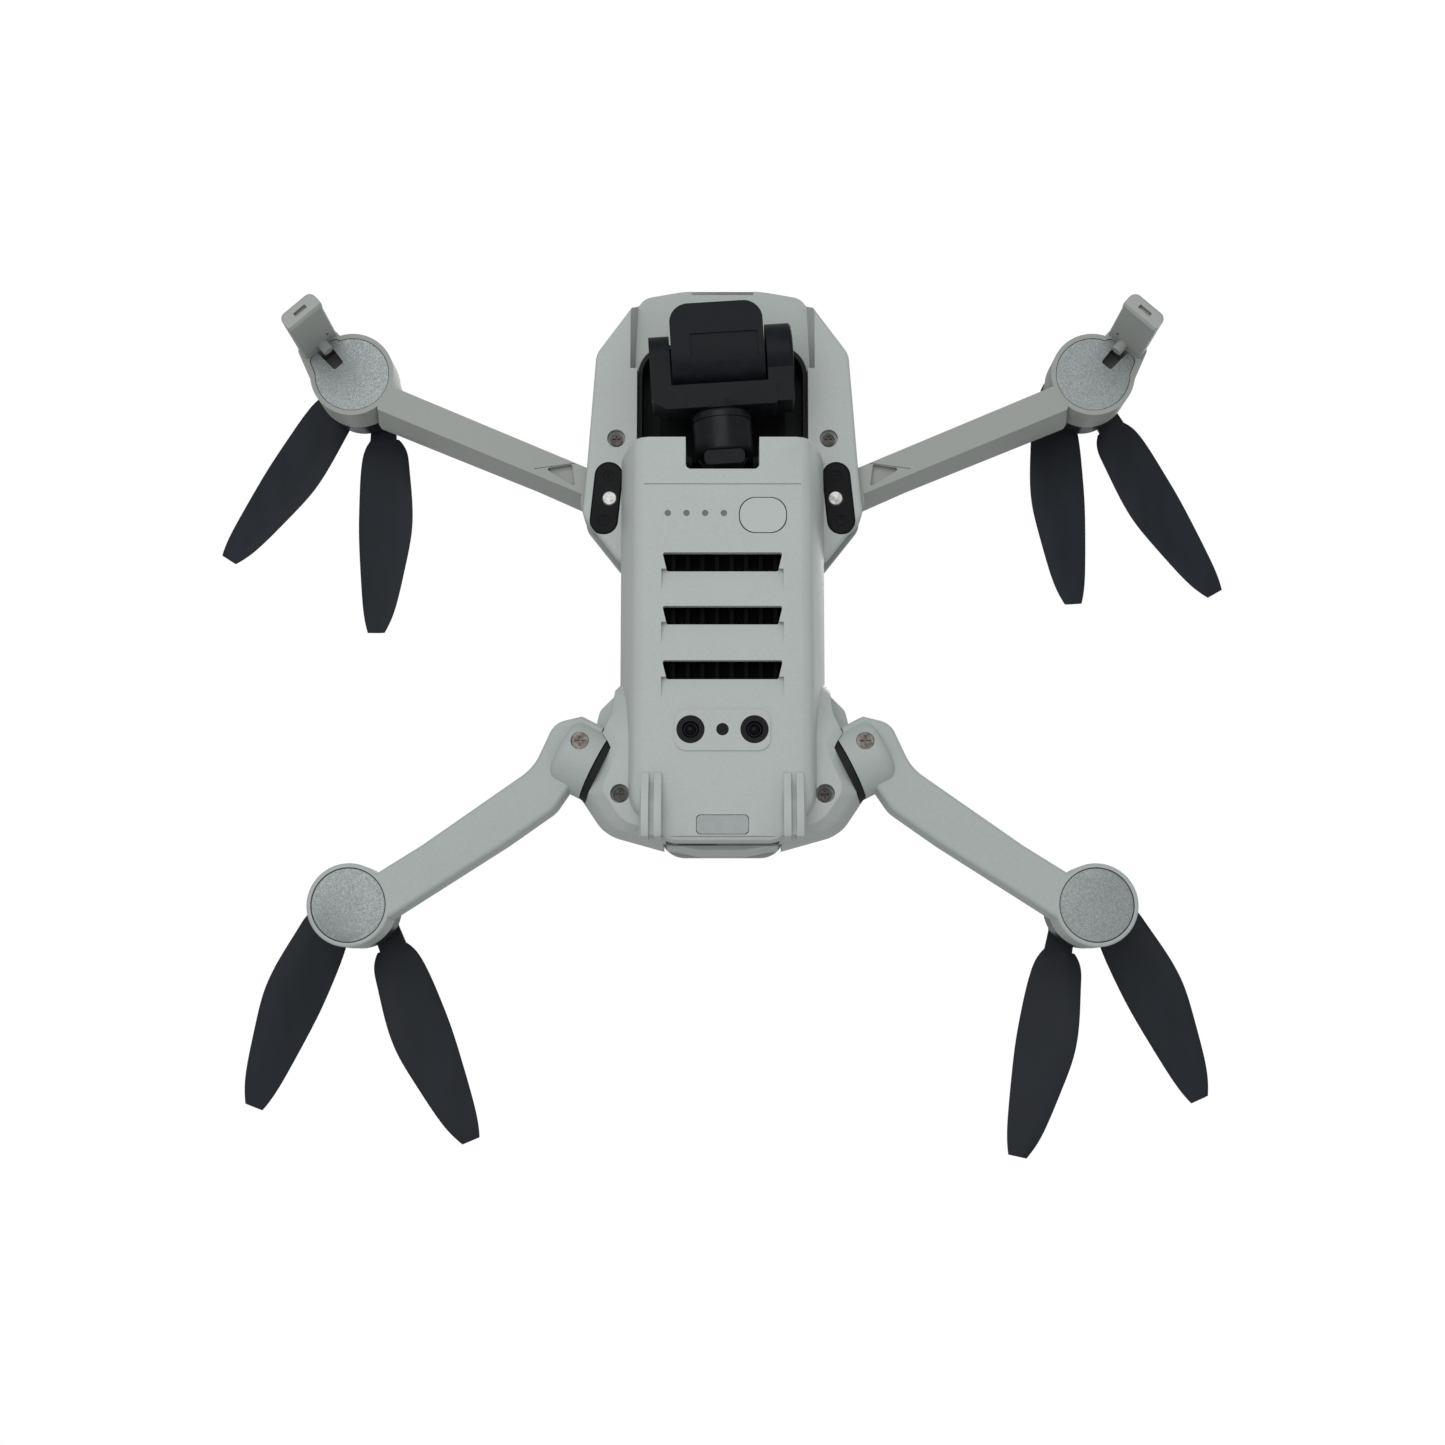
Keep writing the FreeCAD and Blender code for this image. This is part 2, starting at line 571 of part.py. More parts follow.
def sensor_lenses():
    lenses = []
    for x in (-LENS_X, LENS_X):
        body = turned([(0, BELLY_Z + 0.6), (1.5, BELLY_Z + 0.6), (1.9, BELLY_Z + 0.1), (3.1, BELLY_Z + 0.1),
                       (3.1, BELLY_Z + 2.6), (0, BELLY_Z + 2.6)], x, LENS_Y)
        dome = Part.makeSphere(1.7, vec(x, LENS_Y, BELLY_Z + 1.7))
        lenses.append(body.fuse(dome.common(box(x - 3, LENS_Y - 3, 0, x + 3, LENS_Y + 3, BELLY_Z + 2))))
    lenses.append(rod(0, LENS_Y, BELLY_Z + 0.2, BELLY_Z + 2.4, 1.35))
    return lenses


def battery_level_lights():
    return [rod(x, LIGHT_Y, BELLY_Z + 0.15, BELLY_Z + 2.4, 0.7) for x in LIGHT_XS]


def port_panel():
    """Tail panel with the charging port and the card slot."""
    panel = slab(rect(0.05 - PORT_HALF, 27.05, PORT_HALF - 0.05, 28.9), PORT_Z[0] + 0.05, PORT_Z[1] - 0.05)
    port = moved(slab(rect(-4.5, -1.6, 4.5, 1.6, 1.5), 0, 4), 0, 0)
    port = turn(port, -90, ORIGIN, vec(1, 0, 0))
    panel = panel.cut(moved(port, -5.6, 27.6, 9.4))
    return panel.cut(box(3.0, 27.7, 9.0, 11.0, 30.0, 9.8))


def battery_hatch():
    """Door over the battery, hinged along its lower edge."""
    gap = 0.3
    half = HATCH_HALF - gap
    door = slab(both_sides([(half, TAIL_Y - 4.0, 0.5), (half, TAIL_Y - 1.5, 0.8), (5.0, TAIL_Y, 9.0)]),
                HATCH_BOTTOM + gap, HATCH_TOP - gap)
    door = door.cut(box(-11.8, 25.0, HATCH_BOTTOM + 4.0, 11.8, TAIL_Y - 2.6, HATCH_TOP - 1.8))
    grip = box(-5.0, TAIL_Y - 0.6, HATCH_TOP - 5.0, 5.0, TAIL_Y + 1, HATCH_TOP - 4.0)
    return door.cut(grip)


# ---- Gimbal -----------------------------------------------------------------------------------
def gimbal_frame(shape):
    return turn(shape, YAW_REST, vec(*YAW_AXIS, 0))


def gimbal_yaw_arm():
    x, y = YAW_AXIS
    disc = rod(x, y, 25.2, 28.2, 6.2)
    shaft = rod(x, y, 28.1, 33.6, 1.5)
    top = slab(rect(-4.6, y, 4.6, -57.6, 1.0), 24.2, 26.6)
    back = slab(rect(-4.6, -60.9, 4.6, -57.6, 1.2), 7.0, 26.6)
    return fused([disc, shaft, top, back])


def along_y(x, z, y0, y1, radius):
    return Part.makeCylinder(radius, y1 - y0, vec(x, y0, z), vec(0, 1, 0))


def along_x(y, z, x0, x1, radius):
    return Part.makeCylinder(radius, x1 - x0, vec(x0, y, z), vec(1, 0, 0))


def gimbal_roll_motor():
    can = along_y(0, ROLL_Z, -70.8, -61.0, 6.8)
    can = can.makeFillet(0.8, edges_where(can, lambda b: b.YLength < 1e-4))
    groove = along_y(0, ROLL_Z, -68.9, -68.6, 8).cut(along_y(0, ROLL_Z, -69, -68.5, 6.5))
    return can.cut(groove).cut(along_y(0, ROLL_Z, -72, -69.2, 2.0))


def gimbal_yoke():
    """U-shaped bracket that carries the camera between its two ends."""
    bar = slab([(-15.8, YOKE_FRONT_Y, 1.0), (13.0, YOKE_FRONT_Y, 0.8), (13.0, -71.4, 0.8), (-12.6, -71.4, 1.5),
                (-15.8, -73.6, 1.2)], 8.2, 19.2)
    hub = along_y(0, ROLL_Z, -73.0, -71.2, 5.6)
    shaft = along_y(0, ROLL_Z, -73.0, -69.4, 1.9)
    left = slab(rect(-15.8, PITCH_Y, -11.1, -74.0, 0.6), 8.6, 18.8)
    left_end = along_x(PITCH_Y, PITCH_Z, -15.8, -11.1, 5.6)
    right = slab(rect(11.2, -82.0, 17.0, -72.0, 0.8), 8.6, 19.2)
    ledge = box(10.4, YOKE_FRONT_Y, 8.8, 13.0, -72.0, 18.6)
    yoke = fused([bar, hub, shaft, left, left_end, right, ledge])
    yoke = yoke.cut(along_x(PITCH_Y, PITCH_Z, 10.0, 20.0, PITCH_MOTOR_R + 0.05))
    return yoke.cut(along_x(PITCH_Y, PITCH_Z, -14.0, -11.0, 1.5))


def gimbal_pitch_motor():
    can = along_x(PITCH_Y, PITCH_Z, 11.2, 17.3, PITCH_MOTOR_R)
    can = can.makeFillet(0.9, edges_where(can, lambda b: b.XLength < 1e-4 and b.XMin > 16))
    face = along_x(PITCH_Y, PITCH_Z, 16.9, 17.5, 4.9).cut(along_x(PITCH_Y, PITCH_Z, 16.9, 17.5, 4.5))
    return can.cut(face).cut(along_x(PITCH_Y, PITCH_Z, 11.0, 13.0, 1.55))


def camera_housing():
    back = along_x(PITCH_Y, PITCH_Z, -CAMERA_HALF, CAMERA_HALF, CAMERA_BACK_R)
    front = slab(rect(-CAMERA_HALF, CAMERA_FRONT_Y, CAMERA_HALF, PITCH_Y),
                 PITCH_Z - CAMERA_BACK_R, PITCH_Z + CAMERA_BACK_R)
    shape = back.fuse(front).removeSplitter()
    corners = slab([(-CAMERA_HALF, CAMERA_FRONT_Y, 4.4), (CAMERA_HALF, CAMERA_FRONT_Y, 4.4),
                    (CAMERA_HALF, -70, 0), (-CAMERA_HALF, -70, 0)], 0, 30)
    shape = shape.common(corners)
    # Inset plate on the underside, window for the lens in front
    inset = slab(rect(-6.2, -88.4, 9.4, -80.2, 0.5), PITCH_Z - 10, PITCH_Z - CAMERA_BACK_R + 0.45)
    shape = shape.cut(inset)
    shape = shape.cut(along_y(0, PITCH_Z, CAMERA_FRONT_Y - 1, CAMERA_FRONT_Y + 7.0, 5.2))
    left_stub = along_x(PITCH_Y, PITCH_Z, -CAMERA_HALF - 2.6, -CAMERA_HALF + 0.1, 1.45)
    right_stub = along_x(PITCH_Y, PITCH_Z, CAMERA_HALF - 0.1, CAMERA_HALF + 1.9, 1.45)
    return fused([shape, left_stub, right_stub])


def camera_bezel():
    ring = along_y(0, PITCH_Z, CAMERA_FRONT_Y - 0.6, CAMERA_FRONT_Y + 1.8, 5.15)
    cone = Part.makeCone(4.3, 3.3, 2.0, vec(0, CAMERA_FRONT_Y - 0.7, PITCH_Z), vec(0, 1, 0))
    return ring.cut(cone).cut(along_y(0, PITCH_Z, CAMERA_FRONT_Y, CAMERA_FRONT_Y + 4, 3.3))


def camera_lens():
    barrel = along_y(0, PITCH_Z, CAMERA_FRONT_Y + 1.2, CAMERA_FRONT_Y + 6.5, 3.25)
    dome = Part.makeSphere(5.0, vec(0, CAMERA_FRONT_Y + 5.6, PITCH_Z))
    return barrel.common(dome)


# ---- Front arms -------------------------------------------------------------------------------
def motor_level(front):
    return FRONT_ARM_Z[0] if front else REAR_ARM_Z[0]


def pod_room(x, y, base, cover_r):
    """The open cup for the motor cover, and the shaft hole above it."""
    return fused([rod(x, y, base - 1, base + 8.6, cover_r + 0.15), rod(x, y, base, base + 20, 2.75)])


def leg_frame(shape):
    """Place a shape drawn with the leg's direction along X, from the motor's axis."""
    return moved(turn(shape, LEG_ANGLE), *FRONT_MOTOR)


def front_arm():
    angle = math.degrees(math.atan2(FRONT_MOTOR[1] - FRONT_PIVOT[1], FRONT_MOTOR[0] - FRONT_PIVOT[0]))
    low, high = FRONT_ARM_Z
    bottom = [(4.0, -5.1, 0.8), (60.0, -1.6, 0.8), (60.0, 4.9, 0.8), (18.0, 2.1, 2.0), (4.0, 1.2, 0.8)]
    top = [(4.0, -6.1, 0.8), (60.0, -3.2, 0.8), (60.0, 6.8, 0.8), (18.0, 3.6, 2.0), (4.0, 3.0, 0.8)]
    beam = loft([(low, bottom), (low + 8.0, top), (high, top)])
    beam = moved(turn(beam, angle), *FRONT_PIVOT)
    root = rod(*FRONT_PIVOT, low, high, 7.0)
    pod_r = POD_R["front"]
    pod = rod(*FRONT_MOTOR, low, high, pod_r)
    tongue = leg_frame(slab([(0, LEG_SHIFT - LEG_WIDTH / 2 - 0.6, 0), (LEG_ROOT[1], LEG_SHIFT - LEG_WIDTH / 2, 2.0),
                             (LEG_ROOT[1], LEG_SHIFT + LEG_WIDTH / 2, 2.0), (2.0, pod_r - 0.6, 0)], low, high))
    arm = fused([beam, root, pod, tongue])
    arm = arm.cut(pod_room(*FRONT_MOTOR, low, COVER_R["front"]))
    arm = arm.cut(cover_outline(0.15, low - 1, low + 8.6))
    arm = arm.cut(leg_seat())
    arm = arm.cut(rod(*FRONT_PIVOT, low - 1, high + 1, PIN_R + PIN_PLAY))
    # Triangular pocket, sloped groove and seam near the root
    local = [slab([(12.2, -4.0, 0.4), (17.5, -0.2, 0.4), (9.0, 0.6, 0.4)], low - 1, low + 1.6),
             slab([(19.5, 1.0, 0.1), (19.9, 1.0, 0.1), (11.3, -4.9, 0.1), (10.9, -4.9, 0.1)], low - 1, low + 0.3)]
    for mark in local:
        arm = arm.cut(moved(turn(mark, angle), *FRONT_PIVOT))
    return arm


def cover_outline(grow, z0, z1):
    """Plan of a front motor cover: round, with a tongue towards the leg."""
    reach = LEG_ROOT[0] - 0.35 + grow
    radius = COVER_R["front"] + grow
    tongue = leg_frame(slab([(0, LEG_SHIFT - 4.5 - grow, 0), (reach, LEG_SHIFT - 3.9 - grow, 1.6),
                             (reach, LEG_SHIFT + 4.2 + grow, 1.6), (2.0, radius - 0.9, 0)], z0, z1))
    return tongue.fuse(rod(*FRONT_MOTOR, z0, z1, radius)).removeSplitter()


def leg_seat():
    """The stretch of the tongue that the leg's upper end fills."""
    width = LEG_WIDTH / 2 - 1.2
    return leg_frame(slab(rect(LEG_ROOT[0] + 0.4, LEG_SHIFT - width, LEG_ROOT[1] - 1.0, LEG_SHIFT + width, 0.5),
                          FRONT_ARM_Z[0] - 1, FRONT_ARM_Z[0] + 7.0))


def landing_leg():
    low = FRONT_ARM_Z[0]
    half = LEG_WIDTH / 2

    def section(z, inner, outer):
        return (z, [(inner, LEG_SHIFT - half, 0.5), (outer, LEG_SHIFT - half, 1.7),
                    (outer, LEG_SHIFT + half, 1.7), (inner, LEG_SHIFT + half, 0.5)])

    foot_in, foot_out = LEG_FOOT
    root_in, root_out = LEG_ROOT
    blade = loft([section(0, foot_in + 0.5, foot_out - 0.7), section(0.7, foot_in, foot_out),
                  section(2.2, foot_in + 0.2, foot_out + 0.15), section(2.9, foot_in + 1.1, foot_out + 0.2),
                  section(low - 0.02, root_in, root_out)])
    tenon = slab(rect(root_in + 0.5, LEG_SHIFT - half + 1.3, root_out - 1.1, LEG_SHIFT + half - 1.3, 0.5),
                 low - 0.5, low + 6.8)
    peg = Part.makeCylinder(1.3, 2.6, vec(root_in - 2.6, LEG_SHIFT - 0.4, low - 1.9), vec(1, 0, 0))
    slot = slab(rect(foot_in + 1.6, LEG_SHIFT - 1.7, foot_in + 2.6, LEG_SHIFT + 1.7, 0.2), -1, 1.2)
    leg = fused([blade, tenon, peg]).cut(slot)
    leg = leg.cut(slab(rect(root_in - 1.2, LEG_SHIFT - 2.9, root_in + 0.8, LEG_SHIFT - 2.4), low - 5.4, low - 3.6))
    return leg_frame(leg)


def motor_cover(front):
    base = motor_level(front)
    if not front:
        disc = rod(*REAR_MOTOR, base + 0.15, base + 0.15 + COVER_THICK, COVER_R["rear"])
        return disc.makeFillet(0.25, edges_where(disc, lambda b: b.ZMax < base + 0.2))
    disc = cover_outline(0, base + 0.15, base + 0.15 + COVER_THICK)
    slot = leg_frame(slab([(3.6, LEG_SHIFT - 1.45, 0.6), (12, LEG_SHIFT - 1.9, 0), (12, LEG_SHIFT + 1.9, 0),
                           (3.6, LEG_SHIFT + 1.45, 0.6)], base - 1, base + 3))
    return disc.cut(slot)


# ---- Rear arms --------------------------------------------------------------------------------
def rear_arm():
    low, high = REAR_ARM_Z
    z0, z1 = low - REAR_HINGE[2], high - REAR_HINGE[2]
    gap = SEAL_THICK + 0.2
    # Plan in the hinge's frame: X along its axis, Y towards the motor's side
    motor = (36.4, 53.3)
    start = 3.8
    plan = [(start, -HUB_R, 0.0), (9.4, -HUB_R, 1.0), (14.3, -4.2, 5.0), (13.8, 7.0, 12.0), (28.1, 34.1, 2.0),
            (motor[0] - 1.0, motor[1] - 7.0, 0.0), (motor[0] - 8.0, motor[1] + 1.0, 0.0),
            (11.4, 25.2, 2.0), (5.2, 13.4, 7.0), (4.2, 5.4, 0.3), (start, 5.4, 0.0)]
    beam = slab(plan, z0, z1)
    rim = edges_where(beam, lambda b: b.ZLength < 1e-6 and b.XMin > 4.0 and b.YMin > 9.0
                      and b.YMax < motor[1] - 6.0)
    beam = beam.makeFillet(1.1, rim)
    hub_length = 10.6
    hub = Part.makeCylinder(HUB_R, hub_length - gap, vec(gap, 0, 0), vec(1, 0, 0))
    hub = hub.makeFillet(2.6, edges_where(hub, lambda b: b.XMin > hub_length - 0.1))
    collar = Part.makeCylinder(HUB_R, 4.2 - gap, vec(gap, 0, 0), vec(1, 0, 0))
    arm = fused([beam, hub, collar])
    arm = arm.cut(Part.makeCylinder(REAR_PIN_R + PIN_PLAY, 8.0, vec(0, 0, 0), vec(1, 0, 0)))
    arm = moved(turn(arm, REAR_HINGE_ANGLE), *REAR_HINGE)
    pod = rod(*REAR_MOTOR, low, low + POD_HEIGHT, POD_R["rear"])
    pod = pod.makeFillet(0.6, edges_where(pod, lambda b: b.ZMax < low + 0.01))
    arm = fused([arm, pod]).cut(pod_room(*REAR_MOTOR, low, COVER_R["rear"]))
    arm = arm.cut(rod(*ARM_SCREW, 0, ARM_SCREW_HEAD_TOP, 2.05))
    return arm.cut(rod(*ARM_SCREW, 0, 15.6, 0.8))


def rear_arm_screw():
    return screw(*ARM_SCREW, 10.6, ARM_SCREW_HEAD_TOP - 10.6, 1.95, 15.3, 0.8)


def rear_hinge_pin(side):
    return hinge_rod(-5.8, 7.6, REAR_PIN_R, side)


# ---- Motors and propellers ----------------------------------------------------------------------
def motor_place(shape, side, front):
    x, y = FRONT_MOTOR if front else REAR_MOTOR
    return moved(shape, side * x, y, motor_level(front))


def motor_base():
    """Fixed half of a motor: flange, bearing tube and wound teeth."""
    flange = rod(0, 0, POD_HEIGHT, POD_HEIGHT + 0.9, 8.6)
    bearing = rod(0, 0, 8.8, 19.2, 2.6)
    parts = [flange, bearing]
    for step in range(9):
        tooth = fused([box(2.0, -0.7, 13.4, 7.2, 0.7, 18.4), box(3.2, -1.15, 13.2, 6.2, 1.15, 18.6),
                       box(6.3, -1.9, 13.4, 7.2, 1.9, 18.4)])
        parts.append(turn(tooth, 40 * step))
    return fused(parts).cut(rod(0, 0, 0, 30, 1.06))


def rotor_bell(pivot_angle):
    """Turning half of a motor with its shaft, propeller seat and two blade screws."""
    z0, z1 = BELL_Z
    bell = turned([(7.7, z0), (BELL_R, z0), (BELL_R, z1 - 1.2), (BELL_R - 1.2, z1), (0, z1), (0, z1 - 1.3),
                   (7.7, z1 - 1.3)])
    shaft = rod(0, 0, 9.0, z1, 1.0)
    parts = [bell, shaft]
    for step in (0, 1):
        angle = pivot_angle + 180 * step
        seat = rod(BLADE_PIVOT_R, 0, z1 - 0.2, SEAT_TOP, 2.9)
        parts.append(turn(seat, angle))
    parts.append(turn(slab(rect(-BLADE_PIVOT_R, -1.4, BLADE_PIVOT_R, 1.4), z1 - 0.2, SEAT_TOP - 0.2), pivot_angle))
    body = fused(parts)
    window = slab([(3.9, -1.0, 0.4), (6.9, -1.7, 0.6), (6.9, 1.7, 0.6), (3.9, 1.0, 0.4)], z1 - 3, z1 - 0.19)
    screws = []
    for step in range(6):
        angle = pivot_angle + 60 * step + 30
        body = body.cut(turn(window, angle))
    for step in (0, 1):
        angle = pivot_angle + 180 * step
        body = body.cut(turn(rod(BLADE_PIVOT_R, 0, z1 - 3, 40, 0.9), angle))
        top = SCREW_HEAD_TOP
        pin = fused([rod(0, 0, z1 - 0.4, SEAT_TOP, 0.9), rod(0, 0, SEAT_TOP, top - 1.0, 1.5),
                     rod(0, 0, top - 1.0, top, 2.6)])
        pin = pin.cut(box(-1.4, -0.25, top - 0.5, 1.4, 0.25, top + 1))
        pin = pin.cut(box(-0.25, -1.4, top - 0.5, 0.25, 1.4, top + 1))
        screws.append(turn(moved(pin, BLADE_PIVOT_R, 0), angle))
    return [body] + screws


BLADE_STATIONS = (
    # distance along the blade, rear edge, front edge, twist, thickness
    (5.0, 3.0, -3.9, 0.0, 1.7),
    (11.5, 5.3, -6.6, 4.0, 1.4),
    (20.0, 5.7, -7.8, 10.0, 1.2),
    (28.0, 5.6, -8.1, 11.0, 1.1),
    (36.0, 5.0, -6.9, 10.0, 1.0),
    (44.0, 4.2, -5.3, 9.0, 0.9),
    (50.0, 3.3, -3.6, 7.0, 0.8),
    (53.6, 2.3, -1.9, 6.0, 0.6),
)


def blade(sense):
    """One propeller blade along X from its pivot. sense is 1 or -1 and mirrors its shape."""
    middle = SEAT_TOP + 0.12 + BLADE_ROOT_THICK / 2
    sections = []
    for x, rear, front, twist, thick in BLADE_STATIONS:
        chord = rear - front
        angle = math.radians(twist)
        ring = []
        for share, rise in ((0.0, 0.0), (0.12, 0.36), (0.35, 0.5), (0.7, 0.36), (1.0, 0.0),
                            (0.7, -0.26), (0.35, -0.42), (0.12, -0.34)):
            across = front + chord * share
            lift = rise * thick
            ring.append(vec(x, across * math.cos(angle) - lift * math.sin(angle),
                            middle + across * math.sin(angle) + lift * math.cos(angle)))
        curve = Part.BSplineCurve()
        curve.interpolate(ring, PeriodicFlag=True)
        sections.append(Part.Wire([curve.toShape()]))
    wing = Part.makeLoft(sections, True, False)
    root = slab([(0, -3.0, 0), (7.0, -3.4, 0.6), (7.0, 3.2, 0.6), (0, 3.0, 0)],
                middle - 0.6, middle + 0.6)
    eye = rod(0, 0, middle - BLADE_ROOT_THICK / 2, middle + BLADE_ROOT_THICK / 2, 3.1)
    whole = fused([wing, root, eye]).cut(rod(0, 0, 0, 60, 1.56))
    if sense < 0:
        whole = whole.mirror(ORIGIN, vec(0, 1, 0))
    return whole


def placed_blade(sense, pivot_angle, direction, side, front):
    shape = turn(blade(sense), direction)
    x = BLADE_PIVOT_R * math.cos(math.radians(pivot_angle))
    y = BLADE_PIVOT_R * math.sin(math.radians(pivot_angle))
    return motor_place(moved(shape, x, y), side, front)


# ---- Everything -------------------------------------------------------------------------------
def main():
    os.makedirs("parts", exist_ok=True)
    save("upper_shell", upper_shell())
    save("lower_shell", lower_shell())
    save("inner_frame", inner_frame())
    save("battery_pack", battery_pack())
    save("main_board", main_board())
    save("heat_sink", heat_sink())
    save("gps_module", gps_module())
    save("gimbal_bay_liner", gimbal_bay_liner())
    save("gimbal_damper_plate", gimbal_damper_plate())
    save("damper_balls", damper_balls())
    save("gimbal_yaw_motor", gimbal_yaw_motor())
    save("front_light_lens", front_light_shape().common(slab(nose_corners(0.1), 20, 40)).cut(scoop()))
    save("front_pivot_pins", [on_side(front_pivot_pin(), side) for side in (-1, 1)])
    save("rear_hinge_pins", [rear_hinge_pin(side) for side in (-1, 1)])
    save("shell_screws", shell_screws())
    save("sensor_lenses", sensor_lenses())
    save("battery_level_lights", battery_level_lights())
    save("status_light_window", status_window_shape(0.12, BELLY_Z + 0.1, BELLY_Z + 2.6))
    save("port_panel", port_panel())
    save("battery_hatch", battery_hatch())
    save("power_button", button_shape(0, BELLY_Z - 0.05, BELLY_Z + 2.6))
    for name, shape in (("gimbal_yaw_arm", gimbal_yaw_arm()), ("gimbal_roll_motor", gimbal_roll_motor()),
                        ("gimbal_yoke", gimbal_yoke()), ("gimbal_pitch_motor", gimbal_pitch_motor()),
                        ("camera_housing", camera_housing()), ("camera_bezel", camera_bezel()),
                        ("camera_lens", camera_lens())):
        save(name, gimbal_frame(shape))
    for word, side in (("left", -1), ("right", 1)):
        save("front_pivot_plate_" + word, on_side(pivot_plate(), side))
        save("rear_hinge_seal_" + word, rear_hinge_seal(side))
        save("front_arm_" + word, on_side(front_arm(), side))
        save("landing_leg_" + word, on_side(landing_leg(), side))
        save("rear_arm_" + word, on_side(rear_arm(), side))
        save("rear_arm_screw_" + word, on_side(rear_arm_screw(), side))
    for name, (side, front, pivot, toward_a, toward_b, sense) in PROPELLERS.items():
        save("motor_cover_" + name, on_side(motor_cover(front), side))
        save("motor_base_" + name, motor_place(motor_base(), side, front))
        save("rotor_" + name, [motor_place(shape, side, front) for shape in rotor_bell(pivot)])
        save("blade_a_" + name, placed_blade(sense, pivot, toward_a, side, front))
        save("blade_b_" + name, placed_blade(sense, pivot + 180, toward_b, side, front))


main()
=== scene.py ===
import json
import math

import bmesh
import bpy
from mathutils import Matrix, Vector

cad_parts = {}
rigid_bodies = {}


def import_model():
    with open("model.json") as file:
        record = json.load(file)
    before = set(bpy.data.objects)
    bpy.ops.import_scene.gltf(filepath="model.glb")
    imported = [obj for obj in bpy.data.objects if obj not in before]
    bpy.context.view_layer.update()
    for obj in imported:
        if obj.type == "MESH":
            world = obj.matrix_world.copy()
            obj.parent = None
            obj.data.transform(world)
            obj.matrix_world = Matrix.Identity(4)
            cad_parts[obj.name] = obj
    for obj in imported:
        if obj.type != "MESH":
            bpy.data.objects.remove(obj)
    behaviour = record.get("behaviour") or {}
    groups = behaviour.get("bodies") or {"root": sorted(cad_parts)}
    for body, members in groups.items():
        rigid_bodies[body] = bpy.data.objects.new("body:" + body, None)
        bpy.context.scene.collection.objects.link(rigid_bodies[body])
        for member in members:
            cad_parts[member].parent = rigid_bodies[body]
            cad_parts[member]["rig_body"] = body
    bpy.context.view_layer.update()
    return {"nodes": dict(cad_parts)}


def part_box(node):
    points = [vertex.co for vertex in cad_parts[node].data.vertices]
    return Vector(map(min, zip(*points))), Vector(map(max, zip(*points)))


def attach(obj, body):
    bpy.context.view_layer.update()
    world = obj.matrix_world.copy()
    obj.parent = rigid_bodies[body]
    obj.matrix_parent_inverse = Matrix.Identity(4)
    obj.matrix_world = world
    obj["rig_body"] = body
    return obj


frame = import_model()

MM = 0.001
NODES = frame["nodes"]
CORNERS = ("front_left", "front_right", "rear_left", "rear_right")

CAMERA_LENS = 53.2            # millimetres, for a sensor 36 mm wide
CAMERA_TILT = 7.5             # degrees off the upright, looking up and a little forward
CAMERA_PLACE = (0, 67.2, -466)

WELD_REACH = 0.002            # joins the doubled corners of a CAD mesh
CRISP_ANGLE = 32.0            # an edge that bends more than this, in degrees, stays crisp

# Small screws of the pivot plates: the middle of their band along Y, and its half width
PLATE_SCREW_Y = -50.3
PLATE_SCREW_REACH = 8.0

# Motor windings: heights are above the underside of the motor cover
STATOR_TOP = 19.2
WINDING_MIDDLE = 16.0
TEETH = 9
LOOPS_ON_TOOTH = 6
INNER_LOOP_R = 3.9
LOOP_STEP = 0.37
LOOP_HALF = (1.32, 2.82)      # half width and half height of one loop
WIRE_R = 0.17
STEPS_AROUND_LOOP = 28
STEPS_AROUND_WIRE = 6

FLOOR_HALF = 1.6              # metres
FLOOR_DROP = 0.02             # millimetres below the feet, so that the faces don't meet


# ---- Camera: under the drone, a little behind it, the nose at the top of the picture --------------
def make_camera():
    data = bpy.data.cameras.new("camera")
    data.sensor_width = 36.0
    data.lens = CAMERA_LENS
    camera = bpy.data.objects.new("camera", data)
    bpy.context.scene.collection.objects.link(camera)
    tilt = math.radians(CAMERA_TILT)
    forward = Vector((0, -math.sin(tilt), math.cos(tilt)))
    up = Vector((0, -math.cos(tilt), -math.sin(tilt)))
    right = forward.cross(up)
    place = Vector(CAMERA_PLACE) * MM
    turned = Matrix((right, up, -forward)).transposed().to_4x4()
    camera.matrix_world = Matrix.Translation(place) @ turned
    bpy.context.scene.camera = camera


